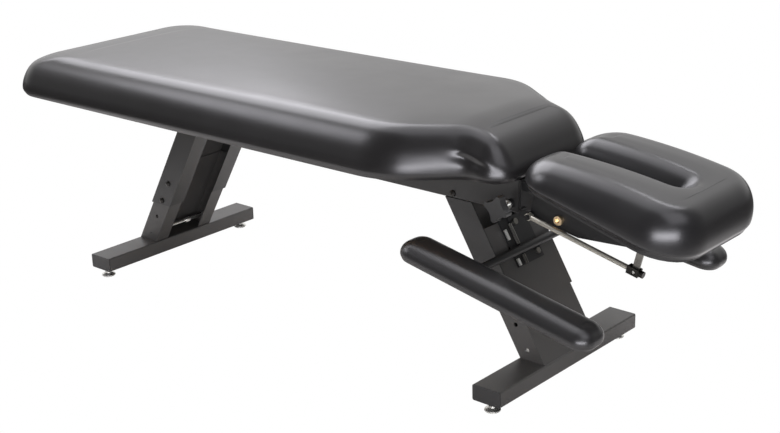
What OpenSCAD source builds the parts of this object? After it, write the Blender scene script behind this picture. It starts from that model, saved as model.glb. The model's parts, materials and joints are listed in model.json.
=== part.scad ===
// Adjusting bench for manual therapy: padded bench, tilting headpiece,
// two tilting armrests, and two splayed legs that telescope.
// X runs toward the head end, Y across the bench, Z up from the floor.
// Stations along X are counted from the centre of the rear base bar.

/* [Base] */
// Distance between the centres of the two base bars
wheelbase = 1337; // [1250:1:1400]
// Length of a base bar, across the bench
bar_l = 546; // [500:1:620]
// Width of a base bar
bar_w = 76; // [70:1:90]
// Height of a base bar
bar_h = 38; // [34:1:46]
// Wall of the base bars, rails and cross members
tube_wall = 3; // [2:0.5:4]
// Outside radius of the tubes' corners
tube_r = 4; // [4:0.5:6]
// Thickness of the plastic cap on a bar end
cap_t = 3; // [2:0.5:5]
// Height of the underside of a base bar above the floor
floor_gap = 24; // [20:1:28]
// Distance from a bar end to the axis of its levelling foot
foot_inset = 23; // [20:1:40]
// Diameter of a levelling foot's pad
foot_d = 37; // [30:1:44]
// Height of a levelling foot's pad
foot_h = 9; // [7:0.5:11]
// Diameter of a levelling foot's stud
stud_d = 10; // [8:0.5:12]
// Height of the threaded boss inside a bar
boss_h = 12; // [8:1:16]

/* [Legs] */
// Lean of each leg from the vertical
leg_angle = 30.7; // [28:0.1:33]
// Outside width of a lower leg
leg_w = 202; // [195:1:208]
// Depth of a lower leg, square to its axis
leg_d = 58; // [52:1:62]
// Thickness of the leg plates
leg_t = 3; // [2:0.5:4]
// Width of the lip along the open side of a lower leg
lip_w = 44; // [36:1:50]
// Running gap between a lower leg and the upper leg round it
slide_gap = 0.4; // [0.3:0.05:0.6]
// Height of the lower end of an upper leg
sleeve_z = 183; // [180:1:195]
// Height of the top of the front leg's web
front_web_z = 352; // [345:1:370]
// Height of the lower edge of the plate that closes the front leg's open side at the top
front_back_z = 292; // [270:1:330]
// Distance from the bar up to the first adjusting hole, along the leg
hole_first = 28; // [22:1:34]
// Pitch of the adjusting holes
hole_pitch = 63.5; // [60:0.5:66]
// Diameter of an adjusting hole
hole_d = 11; // [9:0.5:12]
// How many hole pitches the bench can be lowered by
travel_holes = 2; // [1:1:2]
// Diameter of the stay rod across a lower leg, between its side plates
stay_d = 8; // [6:0.5:9]

/* [Frame] */
// Height of the underside of the rails
rail_z = 409; // [405:1:425]
// Height of a rail
rail_h = 80; // [72:1:90]
// Width of a rail
rail_w = 38; // [34:1:42]
// Station of the foot end of the rails
rail_foot_x = -140; // [-180:1:-60]
// Station of the head end of the rails
rail_head_x = 1300; // [1290:1:1302]
// Side of a square cross member
cross_w = 38; // [30:1:44]
// Diameter of the visible bolt heads
bolt_head_d = 15; // [12:0.5:18]
// Height of the visible bolt heads
bolt_head_h = 5; // [3:0.5:7]
// Diameter of the bolt shanks
bolt_d = 8; // [6:0.5:9]

/* [Bench cushion] */
// Station of the foot end of the cushion
bench_foot_x = -312; // [-330:1:-280]
// Station of the front of the neck
bench_head_x = 1309; // [1300:1:1312]
// Width of the bench cushion
bench_w = 598; // [560:1:640]
// Thickness of the bench cushion with its board
bench_t = 115; // [100:1:130]
// Radius of the corners at the foot end, in plan
foot_corner_r = 105; // [90:1:130]
// Least radius of those corners, at the top
foot_top_r = 70; // [50:1:85]
// Radius of the shoulders, in plan
shoulder_r = 200; // [150:1:240]
// Station where the shoulders start to taper
shoulder_x = 1065; // [1040:1:1090]
// Station where the taper meets the neck
neck_x = 1215; // [1205:1:1225]
// Width of the neck
neck_w = 360; // [345:1:375]
// Radius of the neck's front corners, in plan
neck_r = 62; // [60:1:70]
// Width of the rolled upper edge of the foam
roll_r = 58; // [48:1:62]
// Height of that rolled edge
roll_h = 98; // [80:1:102]
// How far the top falls away at the head end
bench_fall = 36; // [20:1:45]
// Height of the crown in the middle of the top
bench_crown = 5; // [3:0.5:8]
// Thickness of the bench board
bench_board_t = 18; // [15:1:22]
// Distance from the cushion's lower edge in to the board's edge
board_inset = 8; // [6:0.5:12]

/* [Headpiece] */
// Downward tilt of the headpiece
head_tilt = 14.6; // [10:0.1:16]
// Station of the headpiece hinge
hinge_x = 1345; // [1343:1:1352]
// Height of the headpiece hinge
hinge_z = 472; // [468:1:474]
// Length of the head cushion
head_l = 426; // [400:1:440]
// Distance that the head cushion reaches back past the hinge
head_back = 24; // [20:0.5:25]
// Width of the head cushion at its torso end
head_w_back = 358; // [340:1:370]
// Width of the head cushion at its head end
head_w_front = 388; // [360:1:396]
// Thickness of the head cushion at its torso end
head_t_back = 53; // [50:1:60]
// Thickness of the head cushion at its head end
head_t_front = 97; // [88:1:104]
// Extra thickness of the head cushion at mid-length
head_bulge = 14; // [0:1:18]
// Radius of the head end corners, in plan
head_r_front = 104; // [90:1:115]
// Radius of the outer corner of a lobe, in plan
lobe_r_out = 84; // [78:1:88]
// Radius of the inner corner of a lobe, in plan
lobe_r_in = 46; // [42:1:50]
// Width of the face slot at its mouth
slot_w_mouth = 62; // [56:1:66]
// Width of the face slot at its closed end
slot_w_end = 22; // [16:1:40]
// Length of the face slot
slot_l = 296; // [270:1:305]
// Thickness of the head board
head_board_t = 12; // [9:1:15]
// Depth of the head board below the cover's lower edge
board_show = 6; // [3:0.5:8]
// Height of the cover's lower edge above the hinge axis
head_rise = 33; // [32:0.5:38]
// Distance between the outer faces of the two head brackets
bracket_span = 208; // [206:1:212]
// Thickness of a head bracket's side plate
bracket_t = 4; // [3:0.5:5]
// Thickness of a head bracket's flange
flange_t = 3; // [2:0.5:4]
// Depth of a head bracket below the hinge axis, at the hinge
bracket_drop = 64; // [58:1:68]
// Distance from the hinge to the knee of a head bracket
bracket_knee = 128; // [115:1:140]
// Depth of a head bracket below the hinge axis, at its knee
bracket_knee_drop = 54.5; // [50:0.5:58]
// Distance from the hinge to the far tip of a head bracket
bracket_tip = 376; // [340:1:380]
// Distance from a bracket's flange edge in to the cushion's side
flange_inset = 12; // [8:1:20]
// Diameter of the hinge shaft
shaft_d = 10; // [9:0.5:13]
// Gap between a hinge lug and the head bracket beside it
lug_gap = 2; // [1:0.5:4]
// Radial running clearance of shafts and pins
fit_gap = 0.05; // [0.02:0.01:0.09]
// Thickness of a hinge lug
lug_t = 8; // [6:0.5:9]
// Diameter of the spacer tube between the head brackets
spacer_d = 25; // [20:1:28]
// Distance from the hinge to the spacer tube, along the board
spacer_u = 75; // [70:1:90]
// Depth of the spacer tube below the hinge axis
spacer_drop = 37; // [32:1:38]
// Diameter of the spacer bolts' heads
spacer_head_d = 21; // [18:0.5:22]
// Height of the spacer bolts' heads
spacer_head_h = 8; // [6:0.5:9]

/* [Head slide] */
// Travel of the headpiece away from the bench
slide_travel = 60; // [40:1:80]
// Length of a slide tube that stays in its rail at full travel
slide_grip = 180; // [140:1:200]
// Thickness of the head end plate
end_plate_t = 6; // [4:0.5:8]
// Gap between the end plate and the rails
end_gap = 1; // [0.5:0.5:2]

/* [Tilt strut] */
// Distance of the strut's axis from the near head bracket
strut_gap = 15; // [14:0.5:18]
// Station of the strut's lower pivot
anchor_x = 1339; // [1337:1:1343]
// Height of the strut's lower pivot
anchor_z = 415; // [413:1:418]
// Outside diameter of the strut's tube
strut_d = 11; // [9:0.5:12]
// Diameter of the strut's rod
rod_d = 6; // [5:0.5:7]
// Diameter of the strut's lower pin
anchor_pin_d = 8; // [6:0.5:9]
// Distance from the hinge to the link, along the board
link_u = 285; // [275:1:295]
// Depth of the link's pin below the hinge axis
link_drop = 50; // [46:1:54]
// Width of the link
link_w = 16; // [12:1:18]
// Thickness of the link
link_t = 4; // [3:0.5:5]
// Diameter of the link's pin
link_pin_d = 6; // [5:0.5:7]
// Radial clearance of the link's pin in the fork
link_play = 1.6; // [1.4:0.1:2]
// Length of rod inside the tube at rest
rod_in = 150; // [80:1:180]
// Width of the fork on the rod's end
fork_w = 17; // [15:0.5:18]
// Height of the fork
fork_h = 17; // [16:0.5:19]
// Diameter of the release cap
release_d = 15; // [12:0.5:16]
// Length of the release cap
release_l = 9; // [6:0.5:12]

/* [Hand knob] */
// Station of the knob's axis
knob_x = 1280; // [1266:1:1284]
// Height of the knob's axis
knob_z = 430; // [426:1:434]
// Diameter of the knob over its lobes
knob_d = 62; // [54:1:64]
// Thickness of the knob
knob_t = 20; // [16:1:24]
// Distance from the rail to the back of the knob
knob_reach = 38; // [30:1:42]
// Turn of the knob's lobes
knob_turn = 76; // [45:1:90]
// Diameter of the knob's stud
knob_stud_d = 10; // [8:0.5:12]

/* [Armrests] */
// Distance up the leg from the bar to the crossbar
crossbar_s = 242; // [236:1:248]
// Diameter of the crossbar
crossbar_d = 19; // [18:0.5:24]
// Length of the crossbar
crossbar_l = 394; // [370:1:396]
// Width of the mounting plate on the front leg
mount_w = 96; // [84:1:104]
// Length of the mounting plate, along the leg
mount_l = 115; // [104:1:118]
// Distance from the crossbar up to the middle of the mounting plate
mount_rise = 22; // [16:1:26]
// Thickness of the mounting plate
mount_t = 3; // [3:0.5:5]
// Sideways place of the middle of the mounting plate
mount_y = -3; // [-8:1:8]
// Width of the clamp plate that carries the crossbar
clamp_w = 64; // [54:1:68]
// Downward tilt of the near armrest
near_arm_tilt = 11.3; // [0:0.1:15]
// Downward tilt of the far armrest
far_arm_tilt = 8.2; // [0:0.1:15]
// Length of an armrest
arm_l = 514; // [460:1:540]
// Width of an armrest
arm_w = 97; // [92:1:100]
// Thickness of an armrest with its board
arm_t = 42; // [38:1:48]
// Radius of an armrest's corners, in plan
arm_r = 38; // [36:0.5:43]
// Distance of an armrest's middle from the middle of the bench
arm_y = 253; // [252:1:262]
// Distance from the crossbar to the middle of an armrest, along it
arm_u = 101; // [80:1:120]
// Depth of an armrest's underside below the crossbar's axis
arm_drop = 2; // [0:0.5:4]
// Thickness of an armrest's board
arm_board_t = 12; // [9:1:14]
// Thickness of an armrest's angle bracket
arm_bracket_t = 4; // [3:0.5:4.5]
// Diameter of the pivot pin in each end of the crossbar
pivot_d = 8; // [6:0.5:10]

/* [Hidden] */
$fn = 48;

// Overrun of every cut, so that no cut ends on a face
cut = 1;
// A length longer than any piece
reach = 3 * wheelbase;

// Heights and sizes that follow from the driving ones
bar_top = floor_gap + bar_h;
step = slide_gap + leg_t;
up_w = leg_w + 2 * step;
up_d = leg_d + 2 * step;
up_lip = lip_w + 2 * step;
leg_travel = travel_holes * hole_pitch;
top_room = 2 * leg_t;
lower_top = rail_z - leg_travel * cos(leg_angle) - top_room;
bench_z = rail_z + rail_h;
rail_y = up_w / 2;

// Rolled edge of the head cushion, sideways and in height
head_roll = 56;
head_roll_v = 44;
// Height of the head cushion's crown
head_crown = 4;
// Rolled edge along the face slot, as a share of the outer roll
slot_roll_share = 0.8;
// Rolled edge of an armrest, sideways and in height
arm_roll = 30;
arm_roll_v = 28;
// Height of an armrest's crown
arm_crown = 3;
// Reach of every crown in from the outline, as a share of the rolled edge
crown_share = 1.3;
// Reach of the rolled edge at the bench's foot end, as a share of that at its sides
foot_roll_share = 2.8;
// How far the bench cover bridges the crease beside the neck at the top, as a share
bridge_share = 0.25;
// Run over which the bench falls away at its head end
fall_run = 150;
// How far padded sides draw in at the bottom
draw_in = 4;
// Steps round each rounded corner of a padded piece
arc_n = 8;
quarter = 90;
// Steps up a rolled edge
roll_n = 6;

// Place of the whole bench along X: its ends lie equally far from the origin
head_nose = hinge_x + (head_l - head_back - head_roll) * cos(head_tilt)
    + (head_rise + head_t_front - head_roll_v) * sin(head_tilt)
    + norm([head_roll * cos(head_tilt), head_roll_v * sin(head_tilt)]);
mid_x = (bench_foot_x + head_nose) / 2;

function unit(v) = v / norm(v);
function left_of(v) = [-v[1], v[0]];

// Corner i of a closed path after its two edges have moved in by their insets
function moved_corner(path, i, insets) =
    let (n = len(path), before = path[(i + n - 1) % n], here = path[i], after = path[(i + 1) % n],
        n1 = left_of(unit(here - before)), n2 = left_of(unit(after - here)),
        d1 = insets[(i + n - 1) % n], d2 = insets[i], c = n1 * n2)
    here + ((d1 - d2 * c) * n1 + (d2 - d1 * c) * n2) / (1 - c * c);

// Arc of radius r that rounds the corner at b between a and c
function corner_arc(a, b, c, r) =
    let (u = unit(a - b), v = unit(c - b), half = acos(u * v) / 2,
        centre = b + unit(u + v) * r / sin(half), s = b + u * r / tan(half) - centre,
        e = b + v * r / tan(half) - centre, a0 = atan2(s[1], s[0]),
        turn = (atan2(e[1], e[0]) - a0 + 540) % 360 - 180)
    [for (k = [0:arc_n]) let (t = a0 + turn * k / arc_n) centre + r * [cos(t), sin(t)]];

// 1 where a counter-clockwise path turns left at corner i, and -1 where it turns right
function turn_sign(path, i) =
    let (n = len(path), p = path[i] - path[(i + n - 1) % n], q = path[(i + 1) % n] - path[i])
    sign(p[0] * q[1] - p[1] * q[0]);

// Rounded outline of a path whose edges have moved in by depth times their shares.
// Each corner has a radius where depth is 0, and a least radius.
function outline(path, rounds, shares, depth) =
    let (n = len(path), insets = depth * shares,
        moved = [for (i = [0:n - 1]) moved_corner(path, i, insets)])
    [for (i = [0:n - 1])
        let (d = (insets[(i + n - 1) % n] + insets[i]) / 2)
        for (p = corner_arc(moved[(i + n - 1) % n], moved[i], moved[(i + 1) % n],
            max(rounds[i][0] - turn_sign(path, i) * d, rounds[i][1])))
        p];

// Stations up a padded side: inset from the outline, and depth below the top
function roll_profile(roll, roll_v, crown) = [
    for (k = [0:roll_n]) let (t = quarter * k / roll_n, u = (1 - cos(t)) / crown_share)
        [roll * (1 - cos(t)), (roll_v - crown) * (1 - sin(t)) + crown * (1 - u) * (1 - u)],
    [roll * crown_share, 0]];

// Closed solid through rings of points that all run counter-clockwise, lowest first.
// Each end is closed by a ladder of triangles from the ring's first half to its second.
module loft(rings) {
    n = len(rings[0]);
    m = len(rings);
    points = [for (r = rings) for (p = r) p];
    sides = [for (k = [0:m - 2]) for (i = [0:n - 1])
        let (a = k * n + i, b = k * n + (i + 1) % n)
        each [[a, a + n, b + n], [a, b + n, b]]];
    bottom = [for (i = [0:n / 2 - 2]) each [[i, i + 1, n - 2 - i], [i, n - 2 - i, n - 1 - i]]];
    top = [for (f = bottom) [for (k = [2:-1:0]) f[k] + (m - 1) * n]];
    polyhedron(points, concat(bottom, sides, top));
}

// Padded block with a drawn-in foot, full sides, a rolled edge and a crown. Its outline passes
// from path at the foot to upper at the top. The first two heights are its thickness at its
// foot end and head end, then come the extra at mid-length and the fall at its head end.
module padded(path, upper, rounds, shares, heights, roll, roll_v, crown) {
    low = heights[0];
    lower = [[draw_in, low], [draw_in / 4, (low + roll_v) / 2]];
    start = min([for (p = path) p[0]]);
    end = max([for (p = path) p[0]]);
    loft([for (q = concat(lower, roll_profile(roll, roll_v, crown))) let (h = 1 - q[1] / low)
        [for (p = outline(path + h * (upper - path), rounds, shares, q[0]))
            let (along = (p[0] - start) / (end - start), ramp = max(0, 1 - (end - p[0]) / fall_run),
                top = low + (heights[1] - low) * along + heights[2] * 4 * along * (1 - along)
                    - heights[3] * ramp * ramp)
            [p[0], p[1], top * h]]]);
}

// Frames of reference
module placed() { translate([-mid_x, 0, 0]) children(); }
// Pieces of a leg are drawn for the rear leg, and mirrored to the front
module at_leg(front) {
    placed()
        if (front) translate([wheelbase, 0, 0]) mirror([1, 0, 0]) children();
        else children();
}
// The leg's own frame: Z up along the leg, X across its depth, open side at +X
module along_leg() { translate([0, 0, bar_top]) rotate([0, leg_angle, 0]) children(); }
module at_hinge() {
    placed() translate([hinge_x, 0, hinge_z]) rotate([0, head_tilt, 0]) children();
}
module across(y) { translate([0, y, 0]) rotate([-90, 0, 0]) children(); }

// A rod along Y, from y0 to y1, at x and z
module cross_rod(x, z, y0, y1, d) {
    translate([x, y0, z]) rotate([-90, 0, 0]) cylinder(d = d, h = y1 - y0);
}

// A rectangle with round corners, and bars of that section along Y and along X
module rounded_rect(w, h, r) {
    square([w - 2 * r, h], center = true);
    square([w, h - 2 * r], center = true);
    for (x = [-1, 1]) for (y = [-1, 1]) translate([x * (w / 2 - r), y * (h / 2 - r)]) circle(r);
}
module bar_along_y(y0, y1, w, h, r) {
    translate([0, y0, 0]) rotate([-90, 0, 0]) linear_extrude(y1 - y0) rounded_rect(w, h, r);
}
module bar_along_x(x0, x1, w, h, r) {
    translate([x0, 0, 0]) rotate([90, 0, 90]) linear_extrude(x1 - x0) rounded_rect(w, h, r);
}

// Base bars
bar_half = bar_l / 2 - cap_t;
inner_r = tube_r - tube_wall + slide_gap;
cap_plug = foot_inset - stud_d - cap_t - slide_gap;
module foot_places() { for (s = [-1, 1]) translate([0, s * (bar_l / 2 - foot_inset), 0]) children(); }

module base_bar(front) {
    color("#3d3d3d") at_leg(front) difference() {
        union() {
            translate([0, 0, floor_gap + bar_h / 2]) difference() {
                bar_along_y(-bar_half, bar_half, bar_w, bar_h, tube_r);
                bar_along_y(-bar_l, bar_l, bar_w - 2 * tube_wall, bar_h - 2 * tube_wall, inner_r);
            }
            foot_places() translate([0, 0, floor_gap]) cylinder(d = 2 * stud_d, h = tube_wall + boss_h);
        }
        foot_places() translate([0, 0, floor_gap - cut])
            cylinder(d = stud_d + 2 * fit_gap, h = tube_wall + boss_h + 2 * cut);
    }
}

module bar_caps(front) {
    inner_w = bar_w - 2 * tube_wall - slide_gap;
    inner_h = bar_h - 2 * tube_wall - slide_gap;
    color("#2e2e2e") at_leg(front) for (s = [0, 1]) mirror([0, s, 0])
        translate([0, 0, floor_gap + bar_h / 2]) {
            bar_along_y(bar_half, bar_l / 2, bar_w, bar_h, tube_r);
            bar_along_y(bar_half - cap_plug, bar_half, inner_w, inner_h, inner_r);
        }
}

// A levelling foot: swaged pad, neck and threaded stud
module levelling_foot(front, side) {
    stud_top = floor_gap + tube_wall + boss_h + stud_d / 5;
    neck_d = 1.7 * stud_d;
    color("#c9c9c4") at_leg(front) translate([0, side * (bar_l / 2 - foot_inset), 0]) rotate_extrude()
        polygon([[0, 0], [0.44 * foot_d, 0], [foot_d / 2, foot_h / 4], [foot_d / 2, foot_h / 2],
            [neck_d / 2, foot_h], [neck_d / 2, 1.4 * foot_h], [stud_d / 2, 1.4 * foot_h],
            [stud_d / 2, stud_top], [0, stud_top]]);
}

// Legs: each half is a pair of side plates with lips, joined by a web on the outer side
module leg_slab(z0, z1) {
    intersection() {
        along_leg() children();
        translate([-reach / 2, -reach / 2, z0]) cube([reach, reach, z1 - z0]);
    }
}

module side_plate(side, w, d, lip) {
    mirror([0, side > 0 ? 1 : 0, 0]) translate([0, -w / 2, -reach / 4]) {
        translate([-d / 2, 0, 0]) cube([d, leg_t, reach / 2]);
        translate([d / 2 - leg_t, 0, 0]) cube([leg_t, lip, reach / 2]);
    }
}

module web_plate(w, d, inset) {
    translate([inset - d / 2, leg_t - w / 2, -reach / 4]) cube([leg_t, w - 2 * leg_t, reach / 2]);
}

// Bores across a leg at hole numbers first to last
module leg_holes(first, last, d) {
    along_leg() for (k = [first:last])
        cross_rod(0, hole_first + k * hole_pitch, -reach / 4, reach / 4, d);
}

module lower_side(front, side) {
    color("#33332f") at_leg(front) difference() {
        leg_slab(bar_top, lower_top) side_plate(side, leg_w, leg_d, lip_w);
        leg_holes(front ? 0 : 1, 3, hole_d);
        leg_holes(0, 0, stay_d / 2);
    }
}

module lower_web(front) {
    color("#2b2b2b") at_leg(front) leg_slab(bar_top, lower_top) web_plate(leg_w, leg_d, 0);
}

// Stay rod between the side plates, with shoulders at its ends and a coupling nut near its middle
module stay_rod(front) {
    nut_l = 2 * stay_d;
    nut_y = leg_w / 6;
    rod_end = leg_w / 2 - leg_t;
    color("#cfcfca") at_leg(front) along_leg() {
        cross_rod(0, hole_first, -rod_end, rod_end, stay_d);
        for (s = [0, 1]) mirror([0, s, 0])
            cross_rod(0, hole_first, -rod_end, stay_d / 2 - rod_end, 1.8 * stay_d);
        difference() {
            translate([0, nut_y - nut_l / 2, hole_first]) rotate([-90, 0, 0])
                cylinder(d = 1.8 * stay_d, h = nut_l, $fn = 6);
            cross_rod(0, hole_first, nut_y - nut_l, nut_y + nut_l, stay_d + 2 * fit_gap);
        }
    }
}

module upper_side(front, side) {
    color("#3a3a37") at_leg(front) difference() {
        leg_slab(sleeve_z, rail_z) side_plate(side, up_w, up_d, up_lip);
        leg_holes(2, 3, bolt_d + 2 * fit_gap);
    }
}

// The front leg's web stops below the hand knob, and a plate closes the other side there
module upper_web(front) {
    color("#333333") at_leg(front) {
        leg_slab(sleeve_z, front ? front_web_z : rail_z) web_plate(up_w, up_d, 0);
        if (front) leg_slab(front_back_z, rail_z)
            translate([up_d / 2 - leg_t, up_lip - up_w / 2, -reach / 4])
                cube([leg_t, up_w - 2 * up_lip, reach / 2]);
    }
}

// A round-headed bolt along Y whose shank fills a hole in a plate of thickness t
module plate_bolt(t) {
    rotate([90, 0, 0]) {
        intersection() {
            cylinder(d = bolt_head_d, h = bolt_head_h);
            translate([0, 0, bolt_head_h - bolt_head_d]) sphere(r = bolt_head_d);
        }
        translate([0, 0, -t]) cylinder(d = bolt_d, h = t + cut);
    }
}

module height_bolts() {
    color("#45433f") for (front = [false, true]) at_leg(front) for (s = [0, 1]) mirror([0, s, 0])
        along_leg() for (k = [2:3])
            translate([0, -up_w / 2, hole_first + k * hole_pitch]) plate_bolt(leg_t);
}

// Frame
module rail(side) {
    mid_y = side * (rail_y - rail_w / 2);
    color("#35342f") placed() difference() {
        translate([0, mid_y, rail_z + rail_h / 2]) difference() {
            bar_along_x(rail_foot_x, rail_head_x, rail_w, rail_h, tube_r);
            bar_along_x(rail_foot_x + tube_wall, rail_head_x + cut, rail_w - 2 * tube_wall,
                rail_h - 2 * tube_wall, inner_r);
        }
        for (x = rail_bolt_stations)
            cross_rod(x, rail_bolt_z, side > 0 ? rail_y - 2 * tube_wall : -rail_y - cut,
                side > 0 ? rail_y + cut : 2 * tube_wall - rail_y, bolt_d + 2 * fit_gap);
        if (side < 0)
            cross_rod(knob_x, knob_z, -rail_y - cut, 2 * tube_wall - rail_y, knob_stud_d + 2 * fit_gap);
    }
}

// Bolts in the rails' outer walls, beside the tops of the legs
rail_bolt_z = rail_z + bolt_head_d * 0.75;
leg_top_run = (rail_z - bar_top) * tan(leg_angle);
rail_bolt_stations = [leg_top_run - bolt_head_d, wheelbase - leg_top_run - bolt_head_d];

module rail_bolts() {
    color("#5a5852") placed() for (s = [0, 1]) mirror([0, s, 0]) for (x = rail_bolt_stations)
        translate([x, -rail_y, rail_bolt_z]) plate_bolt(tube_wall);
}

slide_in = slide_grip + slide_travel;
cross_stations = [rail_foot_x + cross_w / 2, rail_foot_x + (rail_head_x - rail_foot_x) * 0.43,
    rail_head_x - slide_in - cross_w];
cross_span = 2 * (rail_y - rail_w);

module cross_members() {
    color("#35342f") placed() for (x = cross_stations) difference() {
        translate([x - cross_w / 2, -cross_span / 2, bench_z - cross_w]) cube([cross_w, cross_span, cross_w]);
        translate([x - cross_w / 2 + tube_wall, -cross_span, bench_z - cross_w + tube_wall])
            cube([cross_w - 2 * tube_wall, 2 * cross_span, cross_w - 2 * tube_wall]);
        for (s = [-1, 1]) translate([x, s * cross_span / 4, bench_z - cross_w - cut])
            cylinder(d = bolt_d + 2 * fit_gap, h = cross_w + 2 * cut);
    }
}

// Bolts up through the cross members into the board
module board_bolts() {
    grip = cross_w + bench_board_t / 2;
    color("#8c8a84") placed() for (x = cross_stations) for (s = [-1, 1])
        translate([x, s * cross_span / 4, bench_z - cross_w]) {
            cylinder(d = bolt_d, h = grip);
            translate([0, 0, -bolt_head_h]) cylinder(d = bolt_head_d, h = bolt_head_h, $fn = 6);
        }
}

// Bench
bench_half = bench_w / 2;
neck_half = neck_w / 2;
function bench_points(neck) = [[bench_foot_x, -bench_half], [shoulder_x, -bench_half], [neck_x, -neck],
    [bench_head_x, -neck_half], [bench_head_x, neck_half], [neck_x, neck],
    [shoulder_x, bench_half], [bench_foot_x, bench_half]];
taper_share = (neck_x - shoulder_x) / (bench_head_x - shoulder_x);
bridged_half = neck_half + bridge_share * (bench_half - neck_half) * (1 - taper_share);
bench_path = bench_points(neck_half);
bench_upper = bench_points(bridged_half);
crease_r = neck_r;
foot_round = [foot_corner_r, foot_top_r];
bench_rounds = [foot_round, [shoulder_r, draw_in], [crease_r, draw_in], [neck_r, draw_in],
    [neck_r, draw_in], [crease_r, draw_in], [shoulder_r, draw_in], foot_round];
bench_shares = [1, 1, 1, 1, 1, 1, 1, foot_roll_share];

module bench_board_shape(gap) {
    linear_extrude(bench_board_t) polygon(outline(bench_path, bench_rounds, bench_shares, board_inset - gap));
}

module bench_board() {
    color("#8a6f4d") placed() translate([0, 0, bench_z]) difference() {
        bench_board_shape(0);
        for (x = cross_stations) for (s = [-1, 1]) translate([x, s * cross_span / 4, -cut])
            cylinder(d = bolt_d + 2 * fit_gap, h = bench_board_t / 2 + cut);
    }
}

module bench_cushion() {
    color("#4a4947") placed() translate([0, 0, bench_z]) difference() {
        padded(bench_path, bench_upper, bench_rounds, bench_shares, [bench_t, bench_t, 0, bench_fall],
            roll_r, roll_h, bench_crown);
        translate([0, 0, -bench_board_t]) linear_extrude(2 * bench_board_t)
            polygon(outline(bench_path, bench_rounds, bench_shares, board_inset));
    }
}

// Hand knob that locks the head slide
knob_boss_d = 2 * knob_stud_d;
knob_boss_h = knob_stud_d;
slide_y = rail_y - tube_wall - slide_gap;

module knob_boss() {
    color("#35342f") placed() difference() {
        cross_rod(knob_x, knob_z, -rail_y - knob_boss_h, -rail_y, knob_boss_d);
        cross_rod(knob_x, knob_z, -rail_y - knob_boss_h - cut, -rail_y + cut, knob_stud_d + 2 * fit_gap);
    }
}

module hand_knob() {
    y1 = -rail_y - knob_reach;
    lobe_r = 0.15 * knob_d;
    side = 2 * lobe_r + (knob_d - 2 * lobe_r) * cos(45);
    flute_r = knob_d / 2;
    flute_at = flute_r + 0.32 * knob_d;
    color("#232323") placed() difference() {
        translate([knob_x, y1, knob_z]) rotate([90, 0, 0]) linear_extrude(knob_t) difference() {
            rotate(knob_turn + 45) rounded_rect(side, side, lobe_r);
            for (k = [0:3]) rotate(knob_turn + 45 + 90 * k) translate([flute_at, 0]) circle(flute_r);
        }
        cross_rod(knob_x, knob_z, y1 - knob_t / 2, y1 + cut, knob_stud_d);
    }
}

module knob_stud() {
    y1 = -rail_y - knob_reach;
    collar_y = -rail_y - knob_boss_h - slide_gap;
    color("#c9c9c4") placed() {
        cross_rod(knob_x, knob_z, y1 - knob_t / 2, -slide_y - slide_gap, knob_stud_d);
        cross_rod(knob_x, knob_z, collar_y - knob_stud_d / 4, collar_y, 2 * knob_stud_d);
    }
}

// Head slide: two tubes in the rails, an end plate, hinge lugs and the strut's anchor
end_x = rail_head_x + end_gap;
end_front = end_x + end_plate_t;
slide_h = rail_h - 2 * tube_wall - 2 * slide_gap;
slide_w = rail_w - 2 * tube_wall - 2 * slide_gap;
slide_z = rail_z + tube_wall + slide_gap;
lug_span = bracket_span - 2 * bracket_t - 2 * lug_gap;
lug_r = shaft_d;

module slide_tubes() {
    color("#6b6a66") placed() for (s = [0, 1]) mirror([0, s, 0])
        translate([0, slide_w / 2 - slide_y, slide_z + slide_h / 2]) difference() {
            bar_along_x(rail_head_x - slide_in, end_x, slide_w, slide_h, inner_r);
            bar_along_x(rail_head_x - slide_in - cut, end_x + cut, slide_w - 2 * tube_wall,
                slide_h - 2 * tube_wall, inner_r);
        }
}

module head_end_plate() {
    color("#3d3d3c") placed() translate([end_x, -rail_y, rail_z]) cube([end_plate_t, 2 * rail_y, rail_h - end_gap]);
}

module hinge_lugs() {
    color("#35342f") placed() for (s = [0, 1]) mirror([0, s, 0]) difference() {
        union() {
            translate([end_front, -lug_span / 2, hinge_z - lug_r]) cube([hinge_x - end_front, lug_t, 2 * lug_r]);
            cross_rod(hinge_x, hinge_z, -lug_span / 2, lug_t - lug_span / 2, 2 * lug_r);
        }
        cross_rod(hinge_x, hinge_z, -lug_span / 2 - cut, lug_t - lug_span / 2 + cut, shaft_d + 2 * fit_gap);
    }
}

strut_y = bracket_span / 2 + strut_gap;
strut_eye_w = strut_d;
strut_eye_d = 2 * anchor_pin_d;
ear_t = bracket_t;

module strut_anchor() {
    ear_y = -strut_y + strut_eye_w / 2 + slide_gap;
    base_w = 2 * anchor_pin_d - rail_y - ear_y;
    pin_end = -strut_y - strut_eye_w / 2 - slide_gap;
    color("#3a3a38") placed() {
        translate([end_front, ear_y, anchor_z - anchor_pin_d]) cube([ear_t, base_w, 2 * anchor_pin_d]);
        translate([end_front, ear_y, anchor_z - anchor_pin_d]) cube([anchor_x - end_front, ear_t, 2 * anchor_pin_d]);
        cross_rod(anchor_x, anchor_z, ear_y, ear_y + ear_t, 2 * anchor_pin_d);
        cross_rod(anchor_x, anchor_z, pin_end - ear_t, ear_y + ear_t, anchor_pin_d);
        cross_rod(anchor_x, anchor_z, pin_end - ear_t / 2, pin_end, 1.6 * anchor_pin_d);
    }
}

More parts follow.
